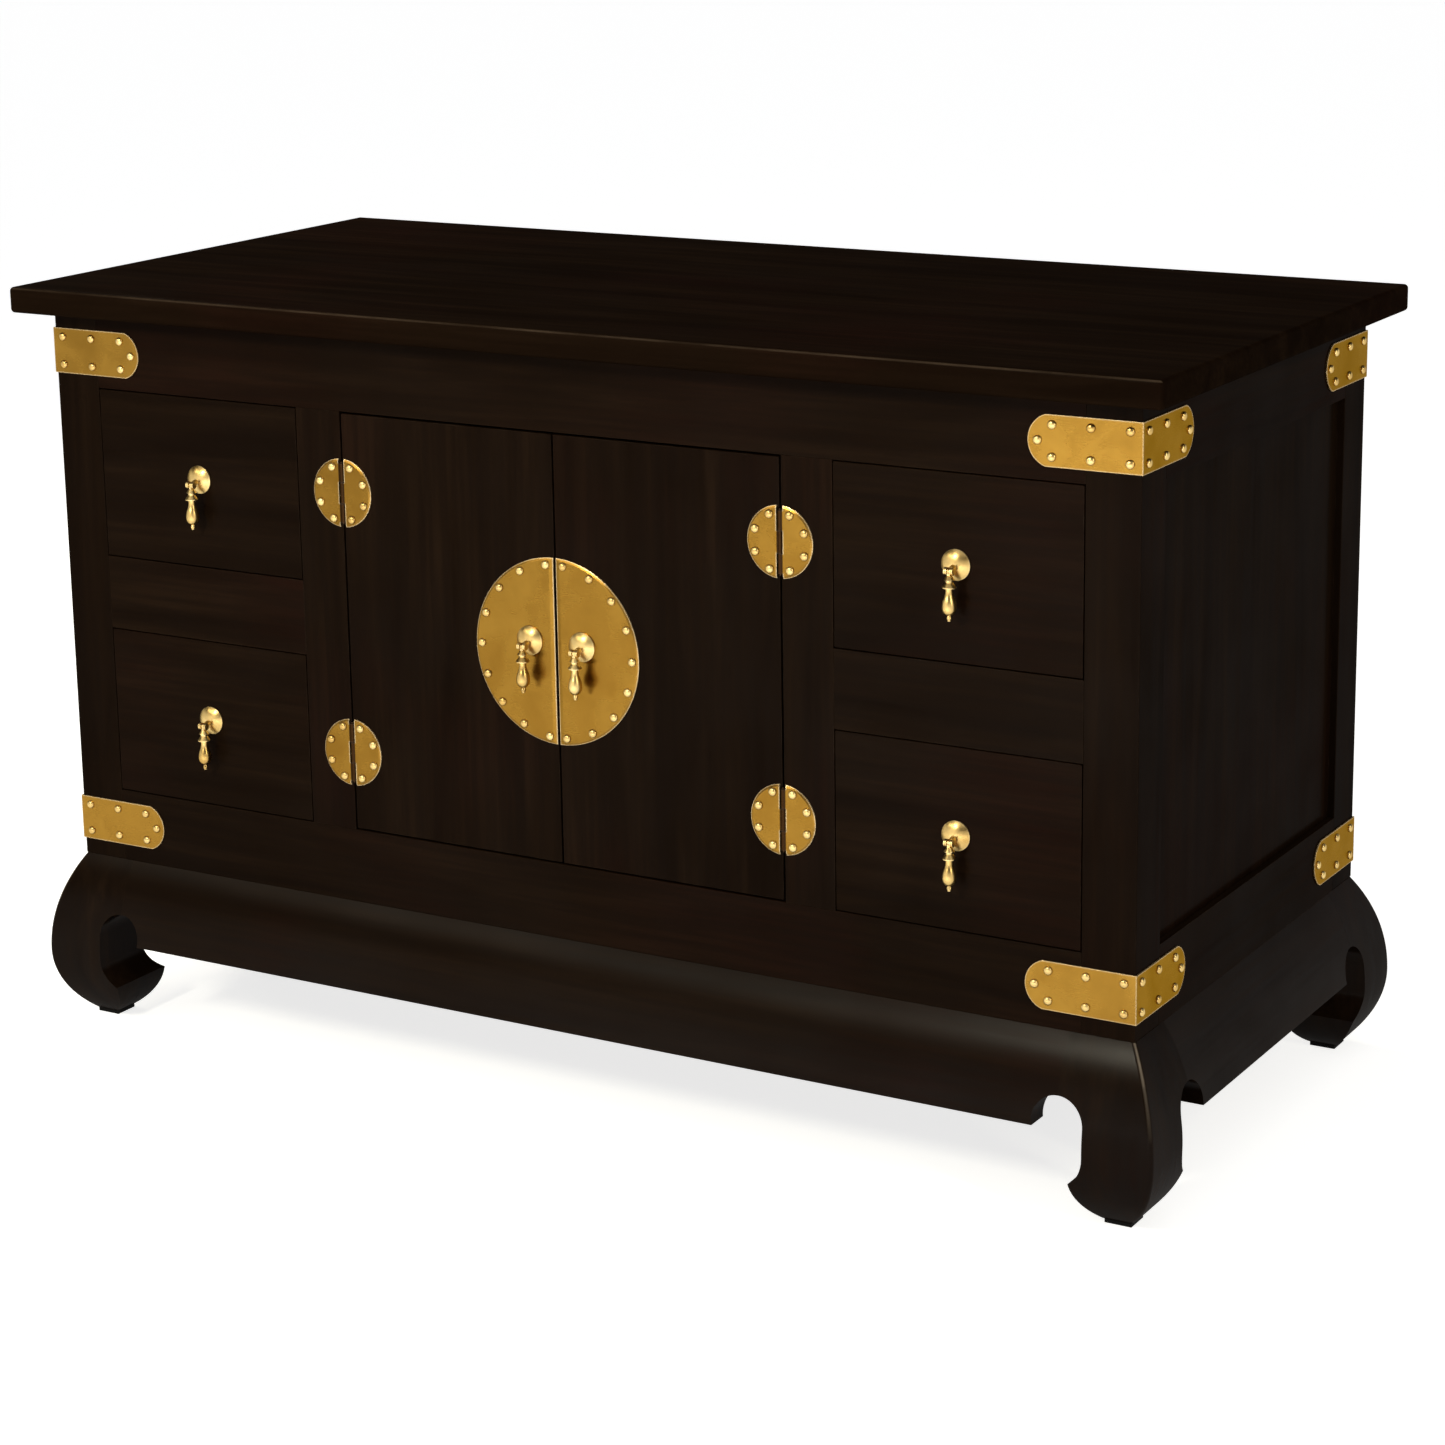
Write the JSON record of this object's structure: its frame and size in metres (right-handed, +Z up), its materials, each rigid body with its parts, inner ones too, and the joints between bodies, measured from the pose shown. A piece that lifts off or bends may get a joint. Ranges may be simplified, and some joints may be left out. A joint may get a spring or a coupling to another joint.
{
  "type": "sideboard",
  "caption": "Low dark wood sideboard with hinged doors, flush drawers, brass corner brackets and drop pulls, on a bulging base with hoof feet.",
  "frame": {"origin": "on the floor, under the middle of the cabinet", "axes": "+Z up, the doors and drawers face -Y, +X to the right as seen from the front"},
  "size_m": [1.2, 0.57, 0.74],
  "materials": {
    "dark_wood": "satin lacquer over dark stain",
    "inner_wood": "thin dark stain",
    "brass": "polished, lightly aged",
    "foot_pad": "matt"
  },
  "bodies": {
    "cabinet": {"top_panel": "dark_wood", "front_left_post": "dark_wood", "front_right_post": "dark_wood", "back_left_post": "dark_wood", "back_right_post": "dark_wood", "front_top_rail": "dark_wood", "front_bottom_rail": "dark_wood", "front_stiles": "dark_wood", "drawer_rails": "dark_wood", "left_side_panel": "dark_wood", "right_side_panel": "dark_wood", "side_rails": "dark_wood", "back_panel": "dark_wood", "back_rails": "dark_wood", "front_left_leg": "dark_wood", "front_right_leg": "dark_wood", "back_left_leg": "dark_wood", "back_right_leg": "dark_wood", "front_apron": "dark_wood", "back_apron": "dark_wood", "side_aprons": "dark_wood", "floor_board": "inner_wood", "partitions": "inner_wood", "dust_boards": "inner_wood", "shelf": "inner_wood", "shelf_cleats": "inner_wood", "drawer_runners": "inner_wood", "drawer_stops": "inner_wood", "door_stop": "inner_wood", "corner_brackets": "brass", "fixed_hinge_leaves": "brass", "hinge_pins": "brass", "foot_pads": "foot_pad"},
    "left_door": {"left_door_panel": "dark_wood", "left_medallion_half": "brass", "left_door_hinge_leaves": "brass", "left_door_pull_mount": "brass"},
    "left_door_pull": {"left_door_pull_drop": "brass"},
    "right_door": {"right_door_panel": "dark_wood", "right_medallion_half": "brass", "right_door_hinge_leaves": "brass", "right_door_pull_mount": "brass"},
    "right_door_pull": {"right_door_pull_drop": "brass"},
    "lower_left_drawer": {"lower_left_drawer_front": "dark_wood", "lower_left_drawer_box": "inner_wood", "lower_left_drawer_pull_mount": "brass"},
    "lower_left_drawer_pull": {"lower_left_drawer_pull_drop": "brass"},
    "lower_right_drawer": {"lower_right_drawer_front": "dark_wood", "lower_right_drawer_box": "inner_wood", "lower_right_drawer_pull_mount": "brass"},
    "lower_right_drawer_pull": {"lower_right_drawer_pull_drop": "brass"},
    "upper_left_drawer": {"upper_left_drawer_front": "dark_wood", "upper_left_drawer_box": "inner_wood", "upper_left_drawer_pull_mount": "brass"},
    "upper_left_drawer_pull": {"upper_left_drawer_pull_drop": "brass"},
    "upper_right_drawer": {"upper_right_drawer_front": "dark_wood", "upper_right_drawer_box": "inner_wood", "upper_right_drawer_pull_mount": "brass"},
    "upper_right_drawer_pull": {"upper_right_drawer_pull_drop": "brass"}
  },
  "joints": [
    {"name": "left_door_hinge", "type": "hinge", "parent": "cabinet", "child": "left_door", "pos_m": [-0.233, -0.2554, 0.4415], "axis": [0, 0, -1], "range_deg": [0, 90]},
    {"name": "left_door_pull_swing", "type": "hinge", "parent": "left_door", "child": "left_door_pull", "pos_m": [-0.028, -0.27, 0.4465], "axis": [-1, 0, 0], "range_deg": [-8, 85]},
    {"name": "right_door_hinge", "type": "hinge", "parent": "cabinet", "child": "right_door", "pos_m": [0.233, -0.2554, 0.4415], "axis": [0, 0, 1], "range_deg": [0, 90]},
    {"name": "right_door_pull_swing", "type": "hinge", "parent": "right_door", "child": "right_door_pull", "pos_m": [0.028, -0.27, 0.4465], "axis": [-1, 0, 0], "range_deg": [-8, 85]},
    {"name": "lower_left_drawer_slide", "type": "slide", "parent": "cabinet", "child": "lower_left_drawer", "axis": [0, -1, 0], "range_m": [0, 0.3]},
    {"name": "lower_left_drawer_pull_swing", "type": "hinge", "parent": "lower_left_drawer", "child": "lower_left_drawer_pull", "pos_m": [-0.402, -0.268, 0.32325], "axis": [-1, 0, 0], "range_deg": [-8, 85]},
    {"name": "lower_right_drawer_slide", "type": "slide", "parent": "cabinet", "child": "lower_right_drawer", "axis": [0, -1, 0], "range_m": [0, 0.3]},
    {"name": "lower_right_drawer_pull_swing", "type": "hinge", "parent": "lower_right_drawer", "child": "lower_right_drawer_pull", "pos_m": [0.402, -0.268, 0.32325], "axis": [-1, 0, 0], "range_deg": [-8, 85]},
    {"name": "upper_left_drawer_slide", "type": "slide", "parent": "cabinet", "child": "upper_left_drawer", "axis": [0, -1, 0], "range_m": [0, 0.3]},
    {"name": "upper_left_drawer_pull_swing", "type": "hinge", "parent": "upper_left_drawer", "child": "upper_left_drawer_pull", "pos_m": [-0.402, -0.268, 0.56075], "axis": [-1, 0, 0], "range_deg": [-8, 85]},
    {"name": "upper_right_drawer_slide", "type": "slide", "parent": "cabinet", "child": "upper_right_drawer", "axis": [0, -1, 0], "range_m": [0, 0.3]},
    {"name": "upper_right_drawer_pull_swing", "type": "hinge", "parent": "upper_right_drawer", "child": "upper_right_drawer_pull", "pos_m": [0.402, -0.268, 0.56075], "axis": [-1, 0, 0], "range_deg": [-8, 85]}
  ]
}
